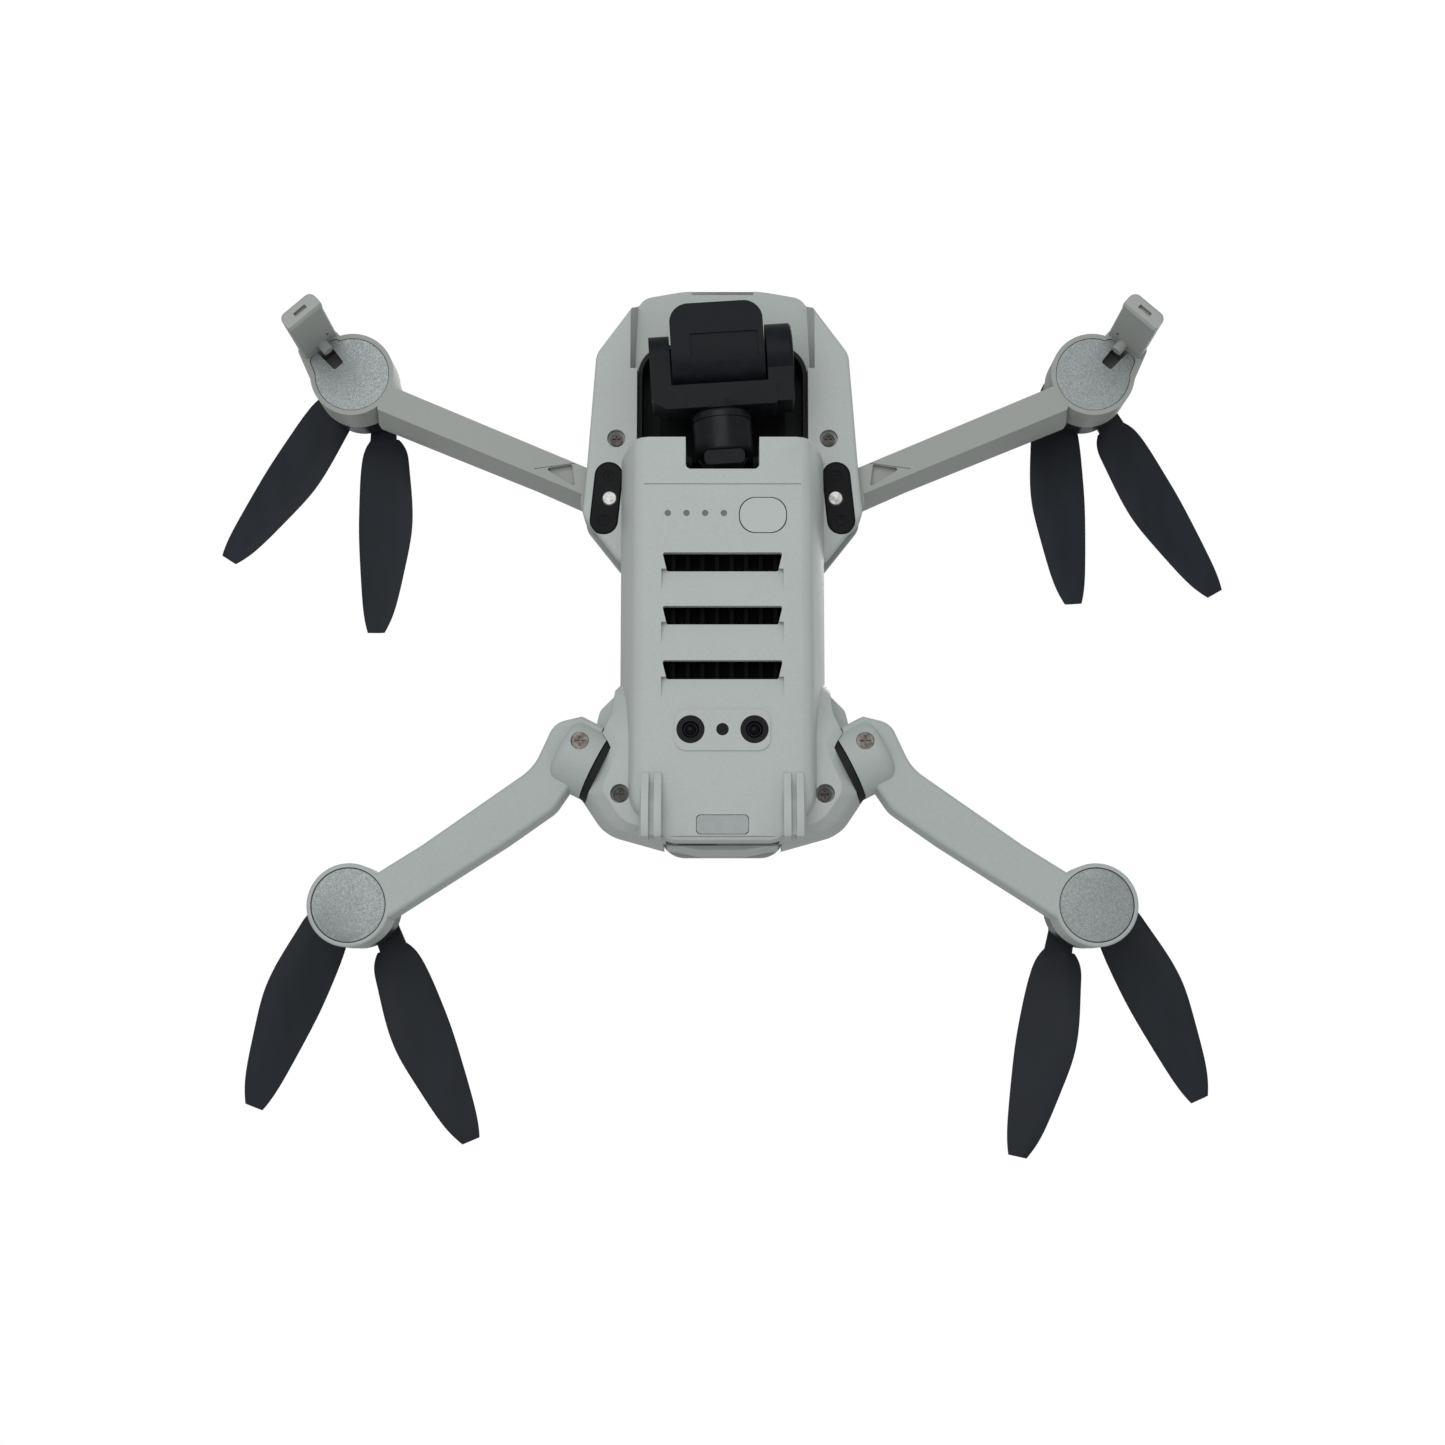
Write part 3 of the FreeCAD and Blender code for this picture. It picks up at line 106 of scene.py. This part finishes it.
# ---- Materials ------------------------------------------------------------------------------------
class Nodes:
    """Small helper that builds a material's node tree around one shader."""

    def __init__(self, name, colour, roughness, metallic=0.0, specular=0.5):
        self.material = bpy.data.materials.new(name)
        self.material.use_nodes = True
        self.tree = self.material.node_tree
        self.shader = self.tree.nodes["Principled BSDF"]
        self.shader.inputs["Base Color"].default_value = (*colour, 1.0)
        self.shader.inputs["Roughness"].default_value = roughness
        self.shader.inputs["Metallic"].default_value = metallic
        self.shader.inputs["Specular IOR Level"].default_value = specular
        self.colour = colour
        self.roughness = roughness
        self.place = self.tree.nodes.new("ShaderNodeTexCoord").outputs["Object"]

    def link(self, source, target):
        self.tree.links.new(source, target)

    def stretched(self, stretch):
        """The object's own coordinates, scaled by three factors."""
        mapping = self.tree.nodes.new("ShaderNodeMapping")
        mapping.inputs["Scale"].default_value = stretch
        self.link(self.place, mapping.inputs["Vector"])
        return mapping.outputs["Vector"]

    def noise(self, size_mm, detail=3.0, stretch=None):
        texture = self.tree.nodes.new("ShaderNodeTexNoise")
        texture.inputs["Scale"].default_value = 1.0 / (size_mm * MM)
        texture.inputs["Detail"].default_value = detail
        self.link(self.stretched(stretch) if stretch else self.place, texture.inputs["Vector"])
        return texture.outputs["Fac"]

    def cells(self, size_mm):
        texture = self.tree.nodes.new("ShaderNodeTexVoronoi")
        texture.inputs["Scale"].default_value = 1.0 / (size_mm * MM)
        self.link(self.place, texture.inputs["Vector"])
        return texture.outputs["Color"]

    def spread(self, value, low, high, out_low, out_high):
        """Map a texture's value range onto another range."""
        node = self.tree.nodes.new("ShaderNodeMapRange")
        node.inputs["From Min"].default_value = low
        node.inputs["From Max"].default_value = high
        node.inputs["To Min"].default_value = out_low
        node.inputs["To Max"].default_value = out_high
        self.link(value, node.inputs["Value"])
        return node.outputs["Result"]

    def mix(self, share, first, second):
        """Blend two colours (tuples or sockets) by a share of 0 to 1 (a number or a socket)."""
        node = self.tree.nodes.new("ShaderNodeMix")
        node.data_type = "RGBA"
        if isinstance(share, float):
            node.inputs["Factor"].default_value = share
        else:
            self.link(share, node.inputs["Factor"])
        for value, socket in ((first, node.inputs["A"]), (second, node.inputs["B"])):
            if isinstance(value, tuple):
                socket.default_value = (*value, 1.0)
            else:
                self.link(value, socket)
        return node.outputs["Result"]

    def tint(self, factor):
        return tuple(min(1.0, part * factor) for part in self.colour)

    def base(self, socket):
        self.link(socket, self.shader.inputs["Base Color"])

    def rough(self, value, change):
        low, high = self.roughness - change, self.roughness + change
        self.link(self.spread(value, 0.3, 0.7, low, high), self.shader.inputs["Roughness"])

    def bump(self, height, strength, depth_mm):
        node = self.tree.nodes.new("ShaderNodeBump")
        node.inputs["Strength"].default_value = strength
        node.inputs["Distance"].default_value = depth_mm * MM
        self.link(height, node.inputs["Height"])
        self.link(node.outputs["Normal"], self.shader.inputs["Normal"])


def moulded_plastic(name, colour, roughness=0.55, contrast=0.06, grain_mm=0.35, specular=0.35):
    """Spark-eroded plastic: fine grain, faint clouds and slightly uneven gloss."""
    m = Nodes(name, colour, roughness, specular=specular)
    grain = m.noise(grain_mm, 2.0)
    clouds = m.noise(14.0, 4.0)
    dark = m.tint(1 - contrast)
    fine = m.mix(m.spread(grain, 0.35, 0.65, 0.0, 1.0), dark, m.tint(1 + contrast))
    soft = m.mix(m.spread(clouds, 0.3, 0.7, 0.0, 1.0), dark, m.tint(1 + contrast * 0.7))
    m.base(m.mix(0.45, fine, soft))
    m.rough(clouds, 0.06)
    m.bump(grain, 0.35, 0.03)
    return m.material


def speckled_metal(name, colour):
    """Metal-flake paint: small flakes, each a little lighter or darker."""
    m = Nodes(name, colour, 0.42, metallic=0.35)
    flakes = m.cells(0.22)
    split = m.tree.nodes.new("ShaderNodeSeparateColor")
    m.link(flakes, split.inputs["Color"])
    grain = m.noise(0.5, 3.0)
    share = m.spread(split.outputs["Red"], 0.1, 0.9, 0.0, 1.0)
    m.base(m.mix(share, m.tint(0.80), m.mix(grain, m.tint(1.0), m.tint(1.28))))
    m.rough(split.outputs["Green"], 0.10)
    m.bump(split.outputs["Blue"], 0.25, 0.02)
    return m.material


def turned_metal(name, colour, roughness):
    """Machined metal with fine tool marks around the upright axis and a little staining."""
    m = Nodes(name, colour, roughness, metallic=1.0)
    marks = m.noise(0.9, 3.0, (1, 1, 14))
    stain = m.noise(1.6, 4.0)
    m.base(m.mix(m.spread(stain, 0.35, 0.7, 0.0, 1.0), m.tint(1.1), m.tint(0.7)))
    m.rough(marks, 0.10)
    m.bump(marks, 0.2, 0.01)
    return m.material


def screw_steel(name, colour, dark):
    """Stained screw steel, blackened on the four small screws of the pivot plates."""
    m = Nodes(name, colour, 0.42, metallic=0.85, specular=0.3)
    marks = m.noise(0.4, 3.0)
    stain = m.noise(1.1, 4.0)
    split = m.tree.nodes.new("ShaderNodeSeparateXYZ")
    m.link(m.place, split.inputs["Vector"])
    near_plate = m.tree.nodes.new("ShaderNodeMath")
    near_plate.operation = "COMPARE"
    near_plate.inputs[1].default_value = PLATE_SCREW_Y * MM
    near_plate.inputs[2].default_value = PLATE_SCREW_REACH * MM
    m.link(split.outputs["Y"], near_plate.inputs[0])
    steel = m.mix(m.spread(stain, 0.35, 0.7, 0.0, 1.0), m.tint(1.15), m.tint(0.5))
    m.base(m.mix(near_plate.outputs["Value"], steel, dark))
    m.rough(marks, 0.10)
    m.bump(marks, 0.2, 0.01)
    return m.material


def satin_shell(name, colour, roughness=0.45, metallic=0.0, specular=0.09):
    """Fine satin paint with dust and faint orange peel."""
    m = Nodes(name, colour, roughness, metallic, specular)
    peel = m.noise(0.5, 2.0)
    dust = m.noise(3.0, 6.0)
    m.base(m.mix(m.spread(dust, 0.42, 0.75, 0.0, 1.0), m.tint(0.92), m.tint(1.35)))
    m.rough(dust, 0.08)
    m.bump(peel, 0.2, 0.015)
    return m.material


def blade_plastic(name, colour):
    """Glass-filled plastic of the blades: fine grain with flow lines from the root to the tip."""
    m = Nodes(name, colour, 0.5, specular=0.12)
    grain = m.noise(0.3, 2.0)
    flow = m.noise(5.0, 4.0, (1.0, 0.25, 1.0))
    m.base(m.mix(m.spread(flow, 0.3, 0.7, 0.0, 1.0), m.tint(0.88), m.tint(1.14)))
    m.rough(flow, 0.07)
    m.bump(grain, 0.3, 0.02)
    return m.material


def dark_glass(name, colour):
    """Coated lens glass: black and glossy, with a few faintly tinted smudges."""
    m = Nodes(name, colour, 0.07, specular=0.08)
    smudge = m.noise(1.2, 4.0)
    m.base(m.mix(m.spread(smudge, 0.4, 0.7, 0.0, 1.0), m.tint(1.0), (0.006, 0.004, 0.010)))
    m.link(m.spread(smudge, 0.3, 0.7, 0.04, 0.10), m.shader.inputs["Roughness"])
    return m.material


def light_guide(name, colour):
    """Milky diffuser over a light: smooth face, cloudy inside."""
    m = Nodes(name, colour, 0.22)
    m.shader.inputs["Subsurface Weight"].default_value = 0.25
    m.shader.inputs["Subsurface Scale"].default_value = 0.8 * MM
    m.shader.inputs["Coat Weight"].default_value = 0.4
    cloud = m.noise(2.2, 4.0)
    m.base(m.mix(m.spread(cloud, 0.3, 0.7, 0.0, 1.0), m.tint(0.9), m.tint(1.1)))
    m.rough(cloud, 0.06)
    m.bump(m.noise(0.4, 2.0), 0.15, 0.01)
    return m.material


def soft_rubber(name, colour):
    """Dull rubber with a little dust."""
    m = Nodes(name, colour, 0.75, specular=0.3)
    grain = m.noise(0.35, 3.0)
    dust = m.noise(2.5, 5.0)
    m.base(m.mix(m.spread(dust, 0.4, 0.75, 0.0, 1.0), m.tint(0.9), m.tint(1.6)))
    m.rough(dust, 0.08)
    m.bump(grain, 0.4, 0.03)
    return m.material


def circuit_board(name, colour):
    """Solder mask with faint tracks."""
    m = Nodes(name, colour, 0.35)
    tracks = m.tree.nodes.new("ShaderNodeTexBrick")
    tracks.inputs["Scale"].default_value = 260.0
    tracks.inputs["Mortar Size"].default_value = 0.06
    m.link(m.place, tracks.inputs["Vector"])
    cloud = m.noise(5.0, 3.0)
    m.base(m.mix(tracks.outputs["Fac"], m.mix(cloud, m.tint(0.8), m.tint(1.1)), m.tint(1.8)))
    m.rough(cloud, 0.05)
    m.bump(tracks.outputs["Fac"], 0.2, 0.03)
    return m.material


def copper_wire(name):
    """Lacquered copper wire."""
    m = Nodes(name, (0.55, 0.20, 0.08), 0.28, metallic=1.0)
    shade = m.noise(0.7, 3.0)
    m.shader.inputs["Coat Weight"].default_value = 0.5
    m.base(m.mix(shade, m.tint(0.65), m.tint(1.15)))
    m.rough(shade, 0.08)
    return m.material


def make_materials():
    blackened = (0.006, 0.006, 0.007)
    return {
        "belly": moulded_plastic("belly_plastic", (0.445, 0.475, 0.455)),
        "roof": moulded_plastic("roof_plastic", (0.42, 0.45, 0.43)),
        "front_arm": moulded_plastic("front_arm_plastic", (0.335, 0.35, 0.33)),
        "rear_arm": moulded_plastic("rear_arm_plastic", (0.40, 0.435, 0.415)),
        "leg": moulded_plastic("leg_plastic", (0.36, 0.375, 0.355), roughness=0.6),
        "button": moulded_plastic("button_plastic", (0.46, 0.49, 0.47), roughness=0.5,
                                  grain_mm=0.25),
        "hatch": moulded_plastic("hatch_plastic", (0.43, 0.46, 0.44)),
        "inner": moulded_plastic("inner_plastic", (0.0045, 0.0048, 0.005), roughness=0.6,
                                 contrast=0.15, specular=0.08),
        "battery": moulded_plastic("battery_plastic", (0.13, 0.135, 0.14), roughness=0.5,
                                   contrast=0.1),
        "port": moulded_plastic("port_plastic", (0.03, 0.032, 0.034), roughness=0.45,
                                contrast=0.15),
        "bay": moulded_plastic("bay_plastic", (0.019, 0.021, 0.021), roughness=0.6,
                               contrast=0.2, specular=0.12),
        "plate": moulded_plastic("pivot_plate_plastic", (0.0062, 0.0066, 0.0076), roughness=0.48,
                                 contrast=0.2, specular=0.09),
        "gimbal": satin_shell("gimbal_satin", (0.0090, 0.0108, 0.0130)),
        "camera": satin_shell("camera_satin", (0.0100, 0.0120, 0.0145), roughness=0.5),
        "gimbal_motor": satin_shell("gimbal_motor_satin", (0.0075, 0.0085, 0.0098),
                                    roughness=0.36, specular=0.16),
        "bezel": satin_shell("bezel_satin", (0.008, 0.009, 0.0105), roughness=0.25,
                             specular=0.3),
        "disc": speckled_metal("speckled_disc", (0.275, 0.295, 0.298)),
        "bell": satin_shell("bell_anodised", (0.045, 0.047, 0.052), roughness=0.32,
                            metallic=0.7),
        "stator": turned_metal("stator_steel", (0.22, 0.22, 0.23), roughness=0.4),
        "sink": satin_shell("heat_sink_anodised", (0.0022, 0.0024, 0.0026), roughness=0.6,
                            specular=0.04),
        "pin": turned_metal("pin_steel", (0.30, 0.30, 0.29), roughness=0.36),
        "screw": screw_steel("screw_steel", (0.15, 0.135, 0.12), blackened),
        # Body screws: the steel is darkened to the mean of a bright head and its dark hole, which is
        # painted shade of the screw holes
        "body_screw": screw_steel("body_screw_steel_painted_hole_shade", (0.06, 0.055, 0.05), blackened),
        "blade": blade_plastic("blade_plastic", (0.0175, 0.0205, 0.0255)),
        "lens": dark_glass("lens_glass", (0.002, 0.002, 0.0025)),
        "window": light_guide("window_diffuser", (0.235, 0.27, 0.27)),
        "level": light_guide("level_light_diffuser", (0.022, 0.024, 0.024)),
        "strip": light_guide("strip_diffuser", (0.15, 0.16, 0.16)),
        "seal": soft_rubber("seal_rubber", (0.0075, 0.008, 0.009)),
        "board": circuit_board("board_mask", (0.012, 0.07, 0.035)),
        "copper": copper_wire("copper_wire"),
    }


def dress_nodes(looks):
    """Give every CAD node its material and smooth shading with crisp edges."""
    named = {
        "upper_shell": "roof", "lower_shell": "belly", "inner_frame": "inner", "battery_pack": "battery",
        "main_board": "board", "heat_sink": "sink", "gps_module": "board", "gimbal_bay_liner": "bay",
        "gimbal_damper_plate": "inner", "damper_balls": "seal", "gimbal_yaw_motor": "gimbal_motor",
        "front_light_lens": "strip", "front_pivot_pins": "pin", "rear_hinge_pins": "pin",
        "shell_screws": "body_screw", "sensor_lenses": "lens", "battery_level_lights": "level",
        "status_light_window": "window", "port_panel": "port", "battery_hatch": "hatch",
        "power_button": "button", "gimbal_yaw_arm": "gimbal", "gimbal_roll_motor": "gimbal_motor",
        "gimbal_yoke": "gimbal", "gimbal_pitch_motor": "gimbal", "camera_housing": "camera",
        "camera_bezel": "bezel", "camera_lens": "lens",
    }
    for side in ("left", "right"):
        named["front_pivot_plate_" + side] = "plate"
        named["rear_hinge_seal_" + side] = "seal"
        named["front_arm_" + side] = "front_arm"
        named["landing_leg_" + side] = "leg"
        named["rear_arm_" + side] = "rear_arm"
        named["rear_arm_screw_" + side] = "screw"
    for corner in CORNERS:
        named["motor_cover_" + corner] = "disc"
        named["motor_base_" + corner] = "stator"
        named["rotor_" + corner] = "bell"
        named["blade_a_" + corner] = "blade"
        named["blade_b_" + corner] = "blade"
    for name, node in NODES.items():
        node.data.materials.clear()
        node.data.materials.append(looks[named[name]])
        smooth_modifiers(node)


def smooth_modifiers(piece):
    """Round faces shade smoothly and corners stay crisp; no vertex moves."""
    piece.data.polygons.foreach_set("use_smooth", [True] * len(piece.data.polygons))
    weld = piece.modifiers.new("weld", "WELD")
    weld.merge_threshold = WELD_REACH * MM
    split = piece.modifiers.new("crisp_edges", "EDGE_SPLIT")
    split.split_angle = math.radians(CRISP_ANGLE)


# ---- Pieces ---------------------------------------------------------------------------------------
def new_piece(name, mesh, body, look):
    piece = bpy.data.objects.new(name, mesh)
    bpy.context.scene.collection.objects.link(piece)
    piece.data.materials.append(look)
    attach(piece, body)
    return piece


def wire_loop(bm, centre, turn, radius):
    """One rounded rectangle of wire around a tooth, at a distance from the motor's axis."""
    half_width, half_height = LOOP_HALF
    rings = []
    for step in range(STEPS_AROUND_LOOP):
        angle = 2 * math.pi * step / STEPS_AROUND_LOOP
        bow = (abs(math.cos(angle)) ** 5 + abs(math.sin(angle)) ** 5) ** -0.2
        ring = []
        for part in range(STEPS_AROUND_WIRE):
            swing = 2 * math.pi * part / STEPS_AROUND_WIRE
            grow = WIRE_R * math.cos(swing)
            along = radius + WIRE_R * math.sin(swing)
            side = (half_width + grow) * bow * math.cos(angle)
            height = WINDING_MIDDLE + (half_height + grow) * bow * math.sin(angle)
            x = along * math.cos(turn) - side * math.sin(turn)
            y = along * math.sin(turn) + side * math.cos(turn)
            ring.append(bm.verts.new(centre + Vector((x, y, height)) * MM))
        rings.append(ring)
    for step in range(STEPS_AROUND_LOOP):
        ring, after = rings[step], rings[(step + 1) % STEPS_AROUND_LOOP]
        for part in range(STEPS_AROUND_WIRE):
            other = (part + 1) % STEPS_AROUND_WIRE
            bm.faces.new((ring[part], ring[other], after[other], after[part]))


def winding_mesh(name, centre):
    """The wound teeth of a motor: each a stack of rounded copper loops."""
    bm = bmesh.new()
    for tooth in range(TEETH):
        turn = math.radians(360 / TEETH * tooth)
        for loop in range(LOOPS_ON_TOOTH):
            wire_loop(bm, centre, turn, INNER_LOOP_R + LOOP_STEP * loop)
    bmesh.ops.recalc_face_normals(bm, faces=bm.faces)
    mesh = bpy.data.meshes.new(name)
    bm.to_mesh(mesh)
    bm.free()
    mesh.polygons.foreach_set("use_smooth", [True] * len(mesh.polygons))
    return mesh


def make_windings(looks):
    for corner in CORNERS:
        low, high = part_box("motor_base_" + corner)
        centre = Vector(((low.x + high.x) / 2, (low.y + high.y) / 2, high.z - STATOR_TOP * MM))
        mesh = winding_mesh("windings_" + corner, centre)
        body = NODES["motor_base_" + corner]["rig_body"]
        new_piece("windings_" + corner, mesh, body, looks["copper"])


# ---- Floor and light --------------------------------------------------------------------------------
def make_floor():
    """A pale floor that is seen from above only, because the camera looks up from under it."""
    bm = bmesh.new()
    bmesh.ops.create_grid(bm, x_segments=8, y_segments=8, size=FLOOR_HALF)
    mesh = bpy.data.meshes.new("floor")
    bm.to_mesh(mesh)
    bm.free()
    floor = bpy.data.objects.new("floor", mesh)
    floor.location.z = -FLOOR_DROP * MM
    bpy.context.scene.collection.objects.link(floor)
    material = bpy.data.materials.new("floor_card")
    material.use_nodes = True
    tree = material.node_tree
    card = tree.nodes["Principled BSDF"]
    card.inputs["Base Color"].default_value = (0.86, 0.86, 0.86, 1)
    card.inputs["Roughness"].default_value = 0.8
    clear = tree.nodes.new("ShaderNodeBsdfTransparent")
    side = tree.nodes.new("ShaderNodeNewGeometry")
    choice = tree.nodes.new("ShaderNodeMixShader")
    tree.links.new(side.outputs["Backfacing"], choice.inputs["Fac"])
    tree.links.new(card.outputs["BSDF"], choice.inputs[1])
    tree.links.new(clear.outputs["BSDF"], choice.inputs[2])
    tree.links.new(choice.outputs["Shader"], tree.nodes["Material Output"].inputs["Surface"])
    floor.data.materials.append(material)
    floor.visible_shadow = False
    floor.visible_diffuse = False
    floor.visible_glossy = False


def area_light(name, place, watts):
    """A soft round light that shines at the middle of the model."""
    data = bpy.data.lights.new(name, "AREA")
    data.shape = "DISK"
    data.size = 0.9
    data.energy = watts
    light = bpy.data.objects.new(name, data)
    light.location = place
    light.rotation_euler = (-Vector(place)).to_track_quat("-Z", "Y").to_euler()
    light.visible_camera = False
    bpy.context.scene.collection.objects.link(light)


def make_light():
    """An even glow all round, which the camera sees as plain white, and two soft lights."""
    world = bpy.data.worlds.new("soft_studio")
    bpy.context.scene.world = world
    world.use_nodes = True
    tree = world.node_tree
    glow = tree.nodes["Background"]
    glow.inputs["Color"].default_value = (0.97, 0.99, 1.0, 1)
    glow.inputs["Strength"].default_value = 0.53
    plain = tree.nodes.new("ShaderNodeBackground")
    plain.inputs["Color"].default_value = (1, 1, 1, 1)
    plain.inputs["Strength"].default_value = 1.0
    path = tree.nodes.new("ShaderNodeLightPath")
    choice = tree.nodes.new("ShaderNodeMixShader")
    tree.links.new(path.outputs["Is Camera Ray"], choice.inputs["Fac"])
    tree.links.new(glow.outputs["Background"], choice.inputs[1])
    tree.links.new(plain.outputs["Background"], choice.inputs[2])
    tree.links.new(choice.outputs["Shader"], tree.nodes["World Output"].inputs["Surface"])
    area_light("belly_light", (-0.15, -0.25, -0.9), 4.3)
    area_light("upper_light", (0.5, -0.6, 1.0), 7.0)


make_camera()
looks = make_materials()
dress_nodes(looks)
make_windings(looks)
make_floor()
make_light()
bpy.context.scene.view_settings.view_transform = "Standard"
